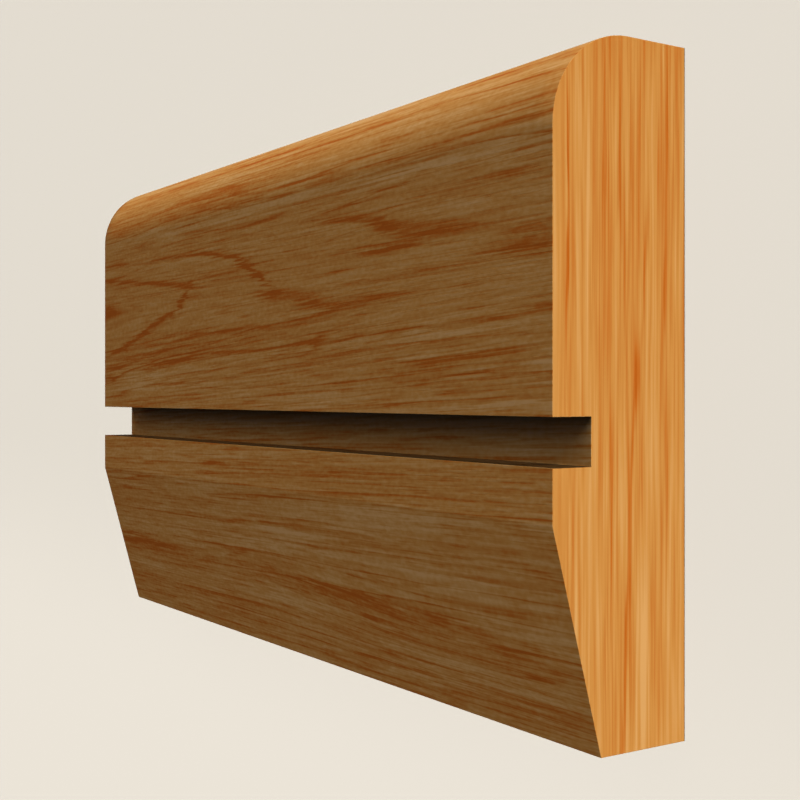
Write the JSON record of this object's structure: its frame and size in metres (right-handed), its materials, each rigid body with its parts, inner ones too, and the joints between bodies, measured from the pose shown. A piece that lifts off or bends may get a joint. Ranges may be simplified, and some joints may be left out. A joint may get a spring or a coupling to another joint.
{
  "type": "dado rail",
  "caption": "Straight moulded timber rail with a rounded top edge, a square groove along its face and a bevelled lower face; its flat back fixes to a wall at chair height.",
  "frame": {"origin": "centre of the flat back, which lies on the floor", "axes": "+X along the rail, +Y towards the rounded edge that is uppermost on a wall, +Z out of the wall from the flat back to the moulded face"},
  "size_m": [0.123, 0.073, 0.018],
  "materials": {
    "oak": "golden oak, planed smooth, clear satin finish"
  },
  "bodies": {
    "root": {"dado_rail": "oak"}
  },
  "joints": []
}
